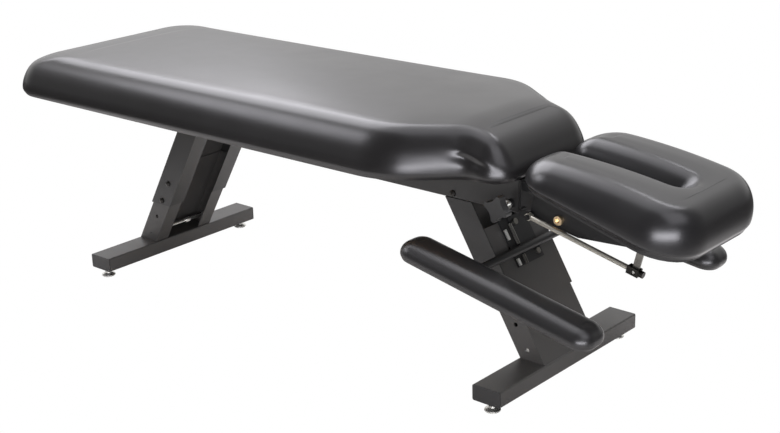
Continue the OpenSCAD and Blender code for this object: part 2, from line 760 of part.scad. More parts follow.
// Headpiece
board_w0 = head_rise - board_show;
flange_w0 = board_w0 - flange_t;
slot_end_u = slot_l - head_back;
function head_half(u) = (head_w_back + (head_w_front - head_w_back) * (u + head_back) / head_l) / 2;
head_path = [[0, -head_w_back / 2], [head_l, -head_w_front / 2], [head_l, head_w_front / 2],
    [0, head_w_back / 2], [0, slot_w_mouth / 2], [slot_l, slot_w_end / 2],
    [slot_l, -slot_w_end / 2], [0, -slot_w_mouth / 2]];
slot_end_r = 0.46 * slot_w_end;
head_rounds = [for (r = [lobe_r_out, head_r_front, head_r_front, lobe_r_out, lobe_r_in, slot_end_r,
    slot_end_r, lobe_r_in]) [r, draw_in]];
head_shares = [1, 1, 1, 1, slot_roll_share, slot_roll_share, slot_roll_share, 1];

module head_cushion() {
    color("#3c3c3e") at_hinge() translate([-head_back, 0, 0]) difference() {
        translate([0, 0, head_rise]) padded(head_path, head_path, head_rounds, head_shares,
            [head_t_back, head_t_front, head_bulge, 0], head_roll, head_roll_v, head_crown);
        translate([0, 0, board_w0]) head_board_shape();
    }
}

module head_board_shape() {
    linear_extrude(head_board_t) polygon(outline(head_path, head_rounds, head_shares, board_inset));
}

module head_board() { color("#2a2a2a") at_hinge() translate([-head_back, 0, board_w0]) head_board_shape(); }

// A head bracket: tapered side plate with an outward flange under the board
module head_bracket(side) {
    ear = 0.8 * shaft_d;
    half = head_half(0) - flange_inset;
    flange_u0 = 0.25 * lobe_r_out;
    inner = bracket_span / 2 - bracket_t;
    chamfer = 0.6 * (half - inner);
    color("#232321") at_hinge() mirror([0, side > 0 ? 1 : 0, 0]) difference() {
        union() {
            translate([0, bracket_t - bracket_span / 2, 0]) rotate([90, 0, 0]) linear_extrude(bracket_t)
                polygon([[-ear, flange_w0], [-ear, -ear], [0, -2 * ear], [0, -bracket_drop],
                    [bracket_knee, -bracket_knee_drop], [bracket_tip, flange_w0]]);
            translate([0, 0, flange_w0]) linear_extrude(flange_t)
                polygon([[-ear, -inner], [-ear, -bracket_span / 2], [flange_u0, -half],
                    [bracket_tip - chamfer, -half], [bracket_tip, chamfer - half], [bracket_tip, -inner]]);
        }
        cross_rod(0, 0, -bracket_span, 0, shaft_d + 2 * fit_gap);
        cross_rod(spacer_u, -spacer_drop, -bracket_span, 0, spacer_bolt_d + 2 * fit_gap);
    }
}

spacer_bolt_d = spacer_head_d / 2;

module bracket_spacer() {
    inner = bracket_span / 2 - bracket_t;
    color("#2e2e2c") at_hinge() difference() {
        cross_rod(spacer_u, -spacer_drop, -inner, inner, spacer_d);
        cross_rod(spacer_u, -spacer_drop, -inner - cut, inner + cut, spacer_bolt_d + 2 * fit_gap);
    }
}

// Socket-head bolts into the ends of the spacer
module spacer_bolts() {
    grip = bracket_t + 2 * spacer_bolt_d;
    color("#b08d57") at_hinge() for (s = [0, 1]) mirror([0, s, 0]) difference() {
        union() {
            cross_rod(spacer_u, -spacer_drop, -bracket_span / 2 - spacer_head_h, -bracket_span / 2, spacer_head_d);
            cross_rod(spacer_u, -spacer_drop, -bracket_span / 2 - cut, grip - bracket_span / 2, spacer_bolt_d);
        }
        translate([spacer_u, -bracket_span / 2 - spacer_head_h - cut, -spacer_drop]) rotate([-90, 0, 0])
            cylinder(d = spacer_head_d / 2, h = spacer_head_h / 2 + cut, $fn = 6);
    }
}

// Hinge shaft with a collar nut outside each bracket
module hinge_shaft() {
    nut_t = shaft_d * 0.7;
    color("#d0cbb8") at_hinge() {
        cross_rod(0, 0, -bracket_span / 2 - nut_t, bracket_span / 2 + nut_t, shaft_d);
        for (s = [0, 1]) mirror([0, s, 0]) difference() {
            cross_rod(0, 0, -bracket_span / 2 - nut_t, -bracket_span / 2, 1.6 * shaft_d);
            cross_rod(0, 0, -bracket_span / 2 - nut_t - cut, -bracket_span / 2 + cut, shaft_d + 2 * fit_gap);
        }
    }
}

// Strut link: a flat bar from the bracket's flange down to the fork
module strut_link() {
    color("#9a9a96") at_hinge() difference() {
        union() {
            translate([link_u - link_w / 2, -strut_y - link_t / 2, -link_drop])
                cube([link_w, link_t, link_drop + flange_w0]);
            cross_rod(link_u, -link_drop, -strut_y - link_t / 2, -strut_y + link_t / 2, link_w);
        }
        cross_rod(link_u, -link_drop, -strut_y - link_t, -strut_y + link_t, link_pin_d + 2 * fit_gap);
    }
}

module link_pin() {
    color("#c9c9c4") at_hinge()
        cross_rod(link_u, -link_drop, -strut_y - fork_w / 2, -strut_y + fork_w / 2, link_pin_d);
}

// The strut's own frame: X from the anchor toward the link's pin, as the strut lies at rest
link_x = hinge_x + link_u * cos(head_tilt) - link_drop * sin(head_tilt);
link_z = hinge_z - link_u * sin(head_tilt) - link_drop * cos(head_tilt);
strut_l = norm([link_x - anchor_x, link_z - anchor_z]);
strut_angle = atan2(anchor_z - link_z, link_x - anchor_x);
module at_strut() {
    placed() translate([anchor_x, -strut_y, anchor_z]) rotate([0, strut_angle, 0]) children();
}
module strut_bar(x0, x1, d) { translate([x0, 0, 0]) rotate([0, 90, 0]) cylinder(d = d, h = x1 - x0); }

fork_back = link_w / 2 + 2 * link_play + rod_d;
tube_end = strut_l - fork_back - slide_gap;

module strut_tube() {
    color("#d8d8c8") at_strut() difference() {
        union() {
            cross_rod(0, 0, -strut_eye_w / 2, strut_eye_w / 2, strut_eye_d);
            strut_bar(strut_eye_d / 4, tube_end, strut_d);
        }
        cross_rod(0, 0, -strut_eye_w, strut_eye_w, anchor_pin_d + 2 * fit_gap);
        strut_bar(tube_end - rod_in - rod_d, tube_end + cut, rod_d + 2 * fit_gap);
    }
}

module strut_rod() {
    color("#e2e2dc") at_strut() strut_bar(tube_end - rod_in, strut_l - fork_back + rod_d / 2, rod_d);
}

// Fork on the rod's end, with the release cap beyond it; the link's pin has play in it
module rod_fork() {
    fork_front = link_w / 2 + 2 * link_play;
    slot = link_t + link_play;
    color("#262626") at_strut() difference() {
        union() {
            translate([strut_l - fork_back, -fork_w / 2, -fork_h / 2]) cube([fork_back + fork_front, fork_w, fork_h]);
            strut_bar(strut_l + fork_front, strut_l + fork_front + release_l, release_d);
        }
        translate([strut_l - link_w / 2 - link_play, -slot / 2, -fork_h])
            cube([link_w + 2 * link_play, slot, 2 * fork_h]);
        cross_rod(strut_l, 0, -fork_w, fork_w, link_pin_d + 2 * link_play);
        strut_bar(strut_l - fork_back - cut, strut_l - fork_back + rod_d / 2, rod_d);
    }
}

// Armrests
mount_face = -up_d / 2;
clamp_t = mount_t;
crossbar_off = mount_face - mount_t - clamp_t - crossbar_d / 2;
crossbar_x = wheelbase - crossbar_off * cos(leg_angle) - crossbar_s * sin(leg_angle);
crossbar_z = bar_top - crossbar_off * sin(leg_angle) + crossbar_s * cos(leg_angle);
mount_s = crossbar_s + mount_rise;
clamp_y = mount_y + (mount_w - clamp_w) / 2;

// A plate on the front leg's outer face, centred on y and s
module leg_pad(x0, t, y, w, s, l) { translate([x0 - t, y - w / 2, s - l / 2]) cube([t, w, l]); }

module armrest_mount_plate() {
    block_w = clamp_t * 2;
    block_l = mount_l / 4;
    block_y = mount_y - mount_w / 2 + block_w / 2;
    color("#2b2b2b") at_leg(true) along_leg() union() {
        leg_pad(mount_face, mount_t, mount_y, mount_w, mount_s, mount_l);
        for (s = [-1, 1]) leg_pad(mount_face - mount_t, clamp_t, block_y, block_w,
            mount_s + s * (mount_l - block_l) / 2, block_l);
    }
}

module armrest_clamp_plate() {
    color("#303030") at_leg(true) along_leg()
        leg_pad(mount_face - mount_t, clamp_t, clamp_y, clamp_w, mount_s, mount_l);
}

module armrest_mount_bolts() {
    color("#6f6d68") at_leg(true) along_leg() for (k = [-1, 1])
        translate([mount_face - mount_t - clamp_t, clamp_y - k * clamp_w / 4, mount_s + k * 0.36 * mount_l])
            rotate([0, -90, 0]) cylinder(d = bolt_head_d, h = bolt_head_h, $fn = k < 0 ? 6 : 24);
}

pivot_in = 2 * pivot_d;

module crossbar() {
    color("#2e2e2e") placed() difference() {
        cross_rod(crossbar_x, crossbar_z, -crossbar_l / 2, crossbar_l / 2, crossbar_d);
        for (s = [0, 1]) mirror([0, s, 0])
            cross_rod(crossbar_x, crossbar_z, -crossbar_l / 2 - cut, pivot_in - crossbar_l / 2, pivot_d);
    }
}

// Pins in the crossbar's ends, which the armrests turn on
module pivot_pins() {
    color("#45433f") placed() for (s = [0, 1]) mirror([0, s, 0])
        cross_rod(crossbar_x, crossbar_z, -crossbar_l / 2 - slide_gap - arm_bracket_t,
            pivot_in - crossbar_l / 2, pivot_d);
}

// The armrest's own frame: X along it toward the head end, Z square to its board
module at_arm(side) {
    placed() translate([crossbar_x, 0, crossbar_z]) rotate([0, side < 0 ? near_arm_tilt : far_arm_tilt, 0])
        mirror([0, side > 0 ? 1 : 0, 0]) children();
}

module arm_bracket(side) {
    foot_l = 3 * crossbar_d;
    y0 = -crossbar_l / 2 - slide_gap;
    low = -arm_drop - arm_bracket_t;
    rise = 0.75 * crossbar_d;
    color("#2e2e2e") at_arm(side) difference() {
        union() {
            translate([-foot_l / 2, -arm_y, low]) cube([foot_l, arm_y + y0, arm_bracket_t]);
            translate([-foot_l / 2, y0 - arm_bracket_t, low]) cube([foot_l, arm_bracket_t, rise - low]);
        }
        cross_rod(0, 0, y0 - arm_bracket_t - cut, y0 + cut, pivot_d + 2 * fit_gap);
    }
}

arm_path = [[-arm_l / 2, -arm_w / 2], [arm_l / 2, -arm_w / 2], [arm_l / 2, arm_w / 2], [-arm_l / 2, arm_w / 2]];
arm_rounds = [for (p = arm_path) [arm_r, draw_in]];
arm_shares = [1, 1, 1, 1];

module arm_board(side) {
    color("#8a6f4d") at_arm(side) translate([arm_u, -arm_y, -arm_drop]) linear_extrude(arm_board_t)
        polygon(outline(arm_path, arm_rounds, arm_shares, board_inset));
}

module arm_pad(side) {
    color("#3c3c3e") at_arm(side) translate([arm_u, -arm_y, -arm_drop]) difference() {
        padded(arm_path, arm_path, arm_rounds, arm_shares, [arm_t, arm_t, 0, 0], arm_roll, arm_roll_v, arm_crown);
        translate([0, 0, -arm_board_t]) linear_extrude(2 * arm_board_t)
            polygon(outline(arm_path, arm_rounds, arm_shares, board_inset));
    }
}

base_bar(true);  // front_base_bar
bar_caps(true);  // front_bar_caps
lower_side(true, -1);  // front_lower_near_side
lower_side(true, 1);  // front_lower_far_side
lower_web(true);  // front_lower_web
stay_rod(true);  // front_stay_rod
levelling_foot(true, -1);  // front_near_foot
levelling_foot(true, 1);  // front_far_foot
base_bar(false);  // rear_base_bar
bar_caps(false);  // rear_bar_caps
lower_side(false, -1);  // rear_lower_near_side
lower_side(false, 1);  // rear_lower_far_side
lower_web(false);  // rear_lower_web
stay_rod(false);  // rear_stay_rod
levelling_foot(false, -1);  // rear_near_foot
levelling_foot(false, 1);  // rear_far_foot
upper_side(true, -1);  // front_upper_near_side
upper_side(true, 1);  // front_upper_far_side
upper_web(true);  // front_upper_web
upper_side(false, -1);  // rear_upper_near_side
upper_side(false, 1);  // rear_upper_far_side
upper_web(false);  // rear_upper_web
height_bolts();
rail(-1);  // near_rail
rail(1);  // far_rail
cross_members();
rail_bolts();
board_bolts();
bench_board();
bench_cushion();
knob_boss();
hand_knob();
knob_stud();
slide_tubes();
head_end_plate();
hinge_lugs();
strut_anchor();
head_bracket(-1);  // near_head_bracket
head_bracket(1);  // far_head_bracket
bracket_spacer();
spacer_bolts();
hinge_shaft();
head_board();
head_cushion();
strut_link();
link_pin();
strut_tube();
strut_rod();
rod_fork();
armrest_mount_plate();
armrest_clamp_plate();
armrest_mount_bolts();
crossbar();
pivot_pins();
arm_bracket(-1);  // near_arm_bracket
arm_board(-1);  // near_arm_board
arm_pad(-1);  // near_arm_pad
arm_bracket(1);  // far_arm_bracket
arm_board(1);  // far_arm_board
arm_pad(1);  // far_arm_pad
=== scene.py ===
# %% [markdown]
# # Dressing a treatment bench
# The table is already built as exact solids: bars, legs, rails, pins. This file loads those
# solids as a frame that never moves, gives each one the finish of the real thing, and makes
# the soft pieces and small parts that deserve more shape than a plain solid has.

# %% Load the frame
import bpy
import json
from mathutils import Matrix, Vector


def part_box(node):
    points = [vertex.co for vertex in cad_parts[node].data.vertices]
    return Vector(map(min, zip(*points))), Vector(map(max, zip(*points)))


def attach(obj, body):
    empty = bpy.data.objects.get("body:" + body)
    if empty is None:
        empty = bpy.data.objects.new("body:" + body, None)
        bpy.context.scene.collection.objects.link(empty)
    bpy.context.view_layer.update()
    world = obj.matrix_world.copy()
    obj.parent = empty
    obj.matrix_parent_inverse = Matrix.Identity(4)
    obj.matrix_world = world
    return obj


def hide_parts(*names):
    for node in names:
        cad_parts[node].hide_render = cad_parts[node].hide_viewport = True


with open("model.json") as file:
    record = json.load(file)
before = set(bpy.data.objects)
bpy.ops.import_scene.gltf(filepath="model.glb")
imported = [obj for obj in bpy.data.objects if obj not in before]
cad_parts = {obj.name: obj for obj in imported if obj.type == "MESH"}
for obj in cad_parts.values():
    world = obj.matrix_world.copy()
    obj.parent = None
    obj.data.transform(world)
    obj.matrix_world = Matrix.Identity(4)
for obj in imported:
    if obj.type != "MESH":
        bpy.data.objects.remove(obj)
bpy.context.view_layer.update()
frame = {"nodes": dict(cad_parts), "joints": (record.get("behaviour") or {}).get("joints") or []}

import json
import math
import bpy
import numpy as np
from mathutils import Matrix, Vector

MM = 0.001
nodes = frame["nodes"]
joints = {j["name"]: j for j in frame["joints"]}
scene = bpy.context.scene

# %% [markdown]
# ## The camera
# The photograph was taken with a moderate lens from the head end, a little above the bench.
# Its place came from the edges of the base bars, whose sizes are known, so the same points
# fall on the same pixels here. A camera that only looks about right would make every later
# comparison of shapes a guess.

# %% Camera
SENSOR_MM = 36.0
FOCAL_PX, IMAGE_W_PX = 1429.4, 780
CAMERA_FROM_REAR_BAR = Vector((3.0516, -2.5023, 1.4468))
CAMERA_YAW, CAMERA_PITCH, CAMERA_ROLL = 41.591, -19.296, -1.692


def place_camera():
    yaw, pitch, roll = (math.radians(a) for a in (CAMERA_YAW, CAMERA_PITCH, CAMERA_ROLL))
    ahead = Vector((-math.sin(yaw) * math.cos(pitch), math.cos(yaw) * math.cos(pitch),
                    math.sin(pitch)))
    right = ahead.cross(Vector((0, 0, 1))).normalized()
    up = right.cross(ahead)
    rolled_right = math.cos(roll) * right + math.sin(roll) * up
    rolled_up = -math.sin(roll) * right + math.cos(roll) * up
    data = bpy.data.cameras.new("camera")
    data.sensor_width = SENSOR_MM
    data.lens = FOCAL_PX * SENSOR_MM / IMAGE_W_PX
    camera = bpy.data.objects.new("camera", data)
    scene.collection.objects.link(camera)
    turn = Matrix((rolled_right, rolled_up, -ahead)).transposed()
    bar_lo, bar_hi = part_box("rear_base_bar")
    below_bar = Vector(((bar_lo.x + bar_hi.x) / 2, 0, 0))
    camera.matrix_world = Matrix.Translation(below_bar + CAMERA_FROM_REAR_BAR) @ turn.to_4x4()
    scene.camera = camera
    return camera


print("camera lens mm:", round(place_camera().data.lens, 2))

# %% [markdown]
# ## Making a finish
# Every finish is a Principled shader with a few pattern nodes. One function adds a node,
# sets it up and joins it, so that each material reads as a short recipe. Colours are
# written as the sRGB hex that an eye would name, and turned to linear in one place.

# %% Colour and node helpers
# The sRGB curve: a straight toe up to the knee, then a power.
SRGB_KNEE, SRGB_TOE, SRGB_OFFSET, SRGB_POWER = 0.04045, 12.92, 0.055, 2.4


def linear(hex_colour):
    """Linear RGBA of an sRGB hex colour such as '#1c1c1d'."""
    channels = []
    for i in (1, 3, 5):
        c = int(hex_colour[i:i + 2], 16) / 255
        toe, power = c / SRGB_TOE, ((c + SRGB_OFFSET) / (1 + SRGB_OFFSET)) ** SRGB_POWER
        channels.append(toe if c <= SRGB_KNEE else power)
    return tuple(channels + [1.0])


def add(tree, kind, links=None, values=None, **settings):
    """A new node with its settings and socket values, its inputs linked from other nodes."""
    node = tree.nodes.new(kind)
    for name, value in settings.items():
        setattr(node, name, value)
    for socket, value in (values or {}).items():
        node.inputs[socket].default_value = value
    for socket, source in (links or {}).items():
        tree.links.new(source, node.inputs[socket])
    return node


def finish_named(name, **shader_values):
    """A material whose Principled shader has the given constant sockets."""
    material = bpy.data.materials.new(name)
    material.use_nodes = True
    tree = material.node_tree
    tree.nodes.clear()
    sockets = {key if key == "IOR" else key.replace("_", " ").title(): value
               for key, value in shader_values.items()}
    shader = add(tree, "ShaderNodeBsdfPrincipled", values=sockets)
    add(tree, "ShaderNodeOutputMaterial", links={"Surface": shader.outputs["BSDF"]})
    return material, tree, shader


def per_metre(size_mm):
    """Texture scale that gives cells of about size_mm."""
    return 1.0 / (size_mm * MM)


def rough_band(tree, shader, source, low, high):
    """Roughness that wanders between low and high with a pattern."""
    band = add(tree, "ShaderNodeMapRange", links={"Value": source},
               values={"To Min": low, "To Max": high})
    tree.links.new(band.outputs["Result"], shader.inputs["Roughness"])


print("mid grey #808080 in linear light:", round(linear("#808080")[0], 3))

# %% [markdown]
# ## Upholstery vinyl
# The cover is PVC-coated fabric, calendered over a fine leather grain. Its coating is
# smooth between the grain cells, so it gives broad soft highlights and darkens quickly
# away from them. Vinyl has an index of refraction of about 1.53. The grain is fine,
# 1 to 2 mm, so it is a shallow bump, and a slow change of roughness stands for handling.

# %% Vinyl finish
GRAIN_MM, GRAIN_DEPTH_MM, GRAIN_STRENGTH = 1.6, 0.12, 0.12
HANDLING_MM, RUBBED_SMOOTHER, LEFT_DULLER = 130.0, 0.05, 0.06
VINYL_IOR = 1.53
RUBBED_TINT = "#1d1c1c"


def vinyl(name, colour, roughness):
    material, tree, shader = finish_named(name, base_color=linear(colour), IOR=VINYL_IOR,
                                          roughness=roughness)
    place = add(tree, "ShaderNodeTexCoord")
    cells = add(tree, "ShaderNodeTexVoronoi", links={"Vector": place.outputs["Object"]},
                values={"Scale": per_metre(GRAIN_MM), "Randomness": 1.0}, feature="SMOOTH_F1")
    slow = add(tree, "ShaderNodeTexNoise", links={"Vector": place.outputs["Object"]},
               values={"Scale": per_metre(HANDLING_MM), "Detail": 3.0})
    rough_band(tree, shader, slow.outputs["Fac"],
               roughness - RUBBED_SMOOTHER, roughness + LEFT_DULLER)
    tint = add(tree, "ShaderNodeMix", data_type="RGBA", links={"Factor": slow.outputs["Fac"]},
               values={"A": linear(colour), "B": linear(RUBBED_TINT)})
    tree.links.new(tint.outputs["Result"], shader.inputs["Base Color"])
    grain = add(tree, "ShaderNodeBump", links={"Height": cells.outputs["Distance"]},
                values={"Strength": GRAIN_STRENGTH, "Distance": GRAIN_DEPTH_MM * MM})
    tree.links.new(grain.outputs["Normal"], shader.inputs["Normal"])
    return material


BENCH_VINYL = vinyl("calendered_vinyl_bench", "#181717", 0.30)
HEAD_VINYL = vinyl("calendered_vinyl_headpiece", "#181819", 0.30)
ARM_VINYL = vinyl("calendered_vinyl_armrest", "#1a1a1a", 0.33)
print("vinyl grain mm:", GRAIN_MM)

# %% [markdown]
# ## Powder-coated steel
# The tubes and plates were sprayed with black polyester powder and baked. The film
# levels out only partly, which leaves an orange-peel ripple a few millimetres long, and
# that ripple is what tells powder coat from wet paint. IOR is near 1.5.

# %% Powder-coat finishes
PEEL_MM, PEEL_DEPTH_MM, PEEL_STRENGTH = 2.4, 0.15, 0.25
DUST_MM, WIPED_SMOOTHER, DUSTY_DULLER = 60.0, 0.06, 0.08
COAT_IOR = 1.5


def powder_coat(name, colour, roughness):
    material, tree, shader = finish_named(name, base_color=linear(colour), IOR=COAT_IOR,
                                          roughness=roughness)
    place = add(tree, "ShaderNodeTexCoord")
    ripple = add(tree, "ShaderNodeTexNoise", links={"Vector": place.outputs["Object"]},
                 values={"Scale": per_metre(PEEL_MM), "Detail": 1.5})
    wear = add(tree, "ShaderNodeTexNoise", links={"Vector": place.outputs["Object"]},
               values={"Scale": per_metre(DUST_MM), "Detail": 5.0, "Roughness": 0.6})
    rough_band(tree, shader, wear.outputs["Fac"],
               roughness - WIPED_SMOOTHER, roughness + DUSTY_DULLER)
    bump = add(tree, "ShaderNodeBump", links={"Height": ripple.outputs["Fac"]},
               values={"Strength": PEEL_STRENGTH, "Distance": PEEL_DEPTH_MM * MM})
    tree.links.new(bump.outputs["Normal"], shader.inputs["Normal"])
    return material


FRAME_COAT = powder_coat("powder_coated_steel_frame", "#1f1f1e", 0.38)
# Painted light: a lighter copy of the same black coat, for the lower legs, webs and base bars
# where they catch the light.
PAINTED_LIGHT_COAT = powder_coat("powder_coated_steel_lower_leg", "#383735", 0.42)
# Painted shade: a darker copy of the same black coat, for the brackets and plates that sit in the
# shade under the headpiece and bench.
PAINTED_SHADE_COAT = powder_coat("powder_coated_steel_painted_shade", "#0c0c0c", 0.50)
print("orange peel mm:", PEEL_MM)

# %% [markdown]
# ## Plated and bare metals
# Zinc plating is bright but milky, nickel is warmer and smoother, and yellow chromate
# over zinc shifts from gold to rose across one part. Black oxide is a thin dark film on
# steel, so it stays a metal. Cold-rolled steel is left bare, grey and a little dull. All
# keep the default IOR, as metals do here, and take their look from colour and roughness,
# which both change slowly from patch to patch as the plating tarnishes.

# %% Metal finishes
TARNISH_MM, CHROMATE_MM = 9.0, 4.0
ROUGH_SPREAD = 0.08


def metal(name, colour, other, roughness, patch_mm=TARNISH_MM):
    material, tree, shader = finish_named(name, base_color=linear(colour), metallic=1.0,
                                          roughness=roughness)
    place = add(tree, "ShaderNodeTexCoord")
    patches = add(tree, "ShaderNodeTexNoise", links={"Vector": place.outputs["Object"]},
                  values={"Scale": per_metre(patch_mm), "Detail": 4.0})
    tint = add(tree, "ShaderNodeMix", data_type="RGBA", links={"Factor": patches.outputs["Fac"]},
               values={"A": linear(colour), "B": linear(other)})
    tree.links.new(tint.outputs["Result"], shader.inputs["Base Color"])
    rough_band(tree, shader, patches.outputs["Fac"],
               roughness - ROUGH_SPREAD, roughness + ROUGH_SPREAD)
    return material


ZINC = metal("bright_zinc_plated_steel", "#ecece8", "#d2d3ce", 0.36)
NICKEL = metal("satin_nickel_plated_tube", "#f0ede0", "#dfdacb", 0.36)
YELLOW_ZINC = metal("yellow_chromated_zinc_bolt", "#ecd9b4", "#d9b588", 0.34, CHROMATE_MM)
BLACK_OXIDE = metal("black_oxide_bolt_steel", "#4a4947", "#343331", 0.38)
MILL_STEEL = metal("cold_rolled_steel", "#8f8d88", "#77756f", 0.40)
print("tarnish patches mm:", TARNISH_MM)

# %% [markdown]
# ## Moulded plastic, and plywood
# The hand knob is glass-filled nylon moulded in a spark-eroded tool, which leaves a
# fine matt texture. The bar caps are plain low-density polyethylene. Both textures are
# finer than a pixel, so they are drawn several times as coarse as they are. The boards
# under the foam are birch plywood, whose grain runs along the bench; the one in the
# headpiece is painted black.

# %% Plastic and wood finishes
PLASTIC_IOR, WOOD_IOR = 1.52, 1.5
TEXTURE_DEPTH_MM, TEXTURE_STRENGTH = 0.1, 0.3
KNOB_TEXTURE_MM, CAP_TEXTURE_MM = 0.9, 2.0
WOOD_GRAIN_MM, WOOD_STRETCH = 6.0, 14.0


def moulded(name, colour, roughness, texture_mm):
    material, tree, shader = finish_named(name, base_color=linear(colour), IOR=PLASTIC_IOR,
                                          roughness=roughness)
    place = add(tree, "ShaderNodeTexCoord")
    texture = add(tree, "ShaderNodeTexNoise", links={"Vector": place.outputs["Object"]},
                  values={"Scale": per_metre(texture_mm), "Detail": 2.0})
    bump = add(tree, "ShaderNodeBump", links={"Height": texture.outputs["Fac"]},
               values={"Strength": TEXTURE_STRENGTH, "Distance": TEXTURE_DEPTH_MM * MM})
    tree.links.new(bump.outputs["Normal"], shader.inputs["Normal"])
    return material


def plywood(name, light, dark, roughness):
    material, tree, shader = finish_named(name, base_color=linear(light), IOR=WOOD_IOR,
                                          roughness=roughness)
    place = add(tree, "ShaderNodeTexCoord")
    along = add(tree, "ShaderNodeMapping", links={"Vector": place.outputs["Object"]},
                values={"Scale": (1.0 / WOOD_STRETCH, 1.0, 1.0)})
    grain = add(tree, "ShaderNodeTexNoise", links={"Vector": along.outputs["Vector"]},
                values={"Scale": per_metre(WOOD_GRAIN_MM), "Detail": 6.0, "Distortion": 0.6})
    tint = add(tree, "ShaderNodeMix", data_type="RGBA", links={"Factor": grain.outputs["Fac"]},
               values={"A": linear(light), "B": linear(dark)})
    tree.links.new(tint.outputs["Result"], shader.inputs["Base Color"])
    return material


NYLON = moulded("glass_filled_nylon_knob", "#2a2a29", 0.45, KNOB_TEXTURE_MM)
POLYETHYLENE = moulded("moulded_polyethylene_cap", "#191919", 0.45, CAP_TEXTURE_MM)
BIRCH_PLY = plywood("birch_plywood_board", "#b08f63", "#8f6f47", 0.65)
BLACK_PLY = plywood("black_painted_plywood", "#1b1a19", "#141414", 0.5)
print("materials:", len(bpy.data.materials))

# %% [markdown]
# ## Finishes for the solids that stay
# Most steelwork has its right shape already, so it only needs its finish. Real edges are
# never sharp: a small bevel catches a thin line of light along each one, and those lines
# are what make sheet and tube read as metal.

# %% Dress the solids
EDGE_ANGLE = math.radians(35)


def dress(names, material, edge_mm=0.0):
    for name in names:
        piece = nodes[name]
        piece.data.materials.clear()
        piece.data.materials.append(material)
        if edge_mm:
            bevel = piece.modifiers.new("edge_break", "BEVEL")
            bevel.width = edge_mm * MM
            bevel.segments = 2
            bevel.limit_method = "ANGLE"
            bevel.angle_limit = EDGE_ANGLE


LEGS = [f"{leg}_{half}_{side}" for leg in ("front", "rear") for half in ("upper", "lower")
        for side in ("near_side", "far_side", "web")]
dress([n for n in LEGS if "_upper_" in n and "web" not in n], FRAME_COAT, 1.2)
# The lower legs, webs and base bars take the coat's lighter copy, which is painted light.
dress([n for n in LEGS if "_lower_" in n or "web" in n], PAINTED_LIGHT_COAT, 1.2)
dress(["front_base_bar", "rear_base_bar"], PAINTED_LIGHT_COAT, 1.4)
dress(["near_rail", "far_rail", "cross_members"], FRAME_COAT, 1.4)
dress(["front_bar_caps", "rear_bar_caps"], POLYETHYLENE, 0.5)
# The brackets, plates and crossbar take the coat's darker copy, which is painted shade.
dress(["near_head_bracket", "far_head_bracket", "bracket_spacer", "hinge_lugs",
       "strut_anchor", "knob_boss", "head_end_plate"], PAINTED_SHADE_COAT, 0.8)
dress(["armrest_mount_plate", "armrest_clamp_plate", "crossbar",
       "near_arm_bracket", "far_arm_bracket"], PAINTED_SHADE_COAT, 0.4)
dress(["front_stay_rod", "rear_stay_rod", "knob_stud", "hinge_shaft", "link_pin",
       "front_near_foot", "front_far_foot", "rear_near_foot", "rear_far_foot"], ZINC, 0.3)
dress(["slide_tubes", "strut_link"], MILL_STEEL, 0.4)
dress(["strut_tube", "strut_rod"], NICKEL)
dress(["rod_fork", "height_bolts", "rail_bolts", "pivot_pins", "board_bolts"], BLACK_OXIDE, 0.4)
dress(["armrest_mount_bolts"], MILL_STEEL, 0.6)
dress(["spacer_bolts"], YELLOW_ZINC, 0.4)
dress(["hand_knob"], NYLON, 2.5)
dress(["bench_board", "near_arm_board", "far_arm_board"], BIRCH_PLY)
dress(["head_board"], BLACK_PLY, 1.0)
print("leg plates dressed:", len(LEGS))

# %% [markdown]
# ## Rounded outlines
# A cushion's plan is a few straight runs joined by arcs. Its rings, one above another,
# are that outline moved inward, so each needs the same number of points in the same
# order. A ring is made of two long sides and two ends, which lets the top be closed by
# a regular grid from one side to the other, with no poles where a highlight would pinch.

# %% Outline maths
ARC_STEPS = 10


def unit(v):
    return v / np.linalg.norm(v)


def moved_corner(path, i, insets):
    """Corner i after its two edges have moved in by their insets."""
    count = len(path)
    before, here, after = path[i - 1], path[i], path[(i + 1) % count]
    a, b = unit(here - before), unit(after - here)
    n1, n2 = np.array([-a[1], a[0]]), np.array([-b[1], b[0]])
    d1, d2, c = insets[i - 1], insets[i], float(n1 @ n2)
    return here + ((d1 - d2 * c) * n1 + (d2 - d1 * c) * n2) / (1 - c * c)


def corner_arc(a, b, c, radius):
    """Points of the arc that rounds the corner at b."""
    u, v = unit(a - b), unit(c - b)
    half = math.acos(float(u @ v)) / 2
    centre = b + unit(u + v) * radius / math.sin(half)
    start = b + u * radius / math.tan(half) - centre
    end = b + v * radius / math.tan(half) - centre
    first = math.atan2(start[1], start[0])
    turn = (math.atan2(end[1], end[0]) - first + 3 * math.pi) % (2 * math.pi) - math.pi
    angles = first + turn * np.arange(ARC_STEPS + 1) / ARC_STEPS
    return [centre + radius * np.array([math.cos(t), math.sin(t)]) for t in angles]


def outline(path, radii, least, shares, runs, depth):
    """A closed outline: first side, head end, second side, foot end, each cut into steps."""
    count = len(path)
    insets = [depth * s for s in shares]
    corners = [moved_corner(path, i, insets) for i in range(count)]
    points = []
    for i in range(count):
        p, q = path[i] - path[i - 1], path[(i + 1) % count] - path[i]
        bend = 1.0 if p[0] * q[1] - p[1] * q[0] > 0 else -1.0
        radius = max(radii[i] - bend * (insets[i - 1] + insets[i]) / 2, least[i])
        arc = corner_arc(corners[i - 1], corners[i], corners[(i + 1) % count], radius)
        if points:
            steps = runs[i - 1]
            points += [points[-1] + (arc[0] - points[-1]) * k / steps for k in range(1, steps)]
        points += arc
    steps = runs[-1]
    last, first = points[-1], points[0]
    return np.array(points + [last + (first - last) * k / steps for k in range(1, steps)])


print("points on each rounded corner:", ARC_STEPS + 1)

# %% [markdown]
# ## One builder for every cushion
# The bench, the headpiece and the armrests are all made the same way at the maker's:
# foam on a board, vinyl pulled over it and stapled below. So one function builds all
# four from an outline and a side profile. It could be sculpted by hand, but rings keep
# the highlights clean and follow the solids exactly. A short cloth run with a little air
# pressure then swells the cover as foam does, and that movement is capped and evened out.

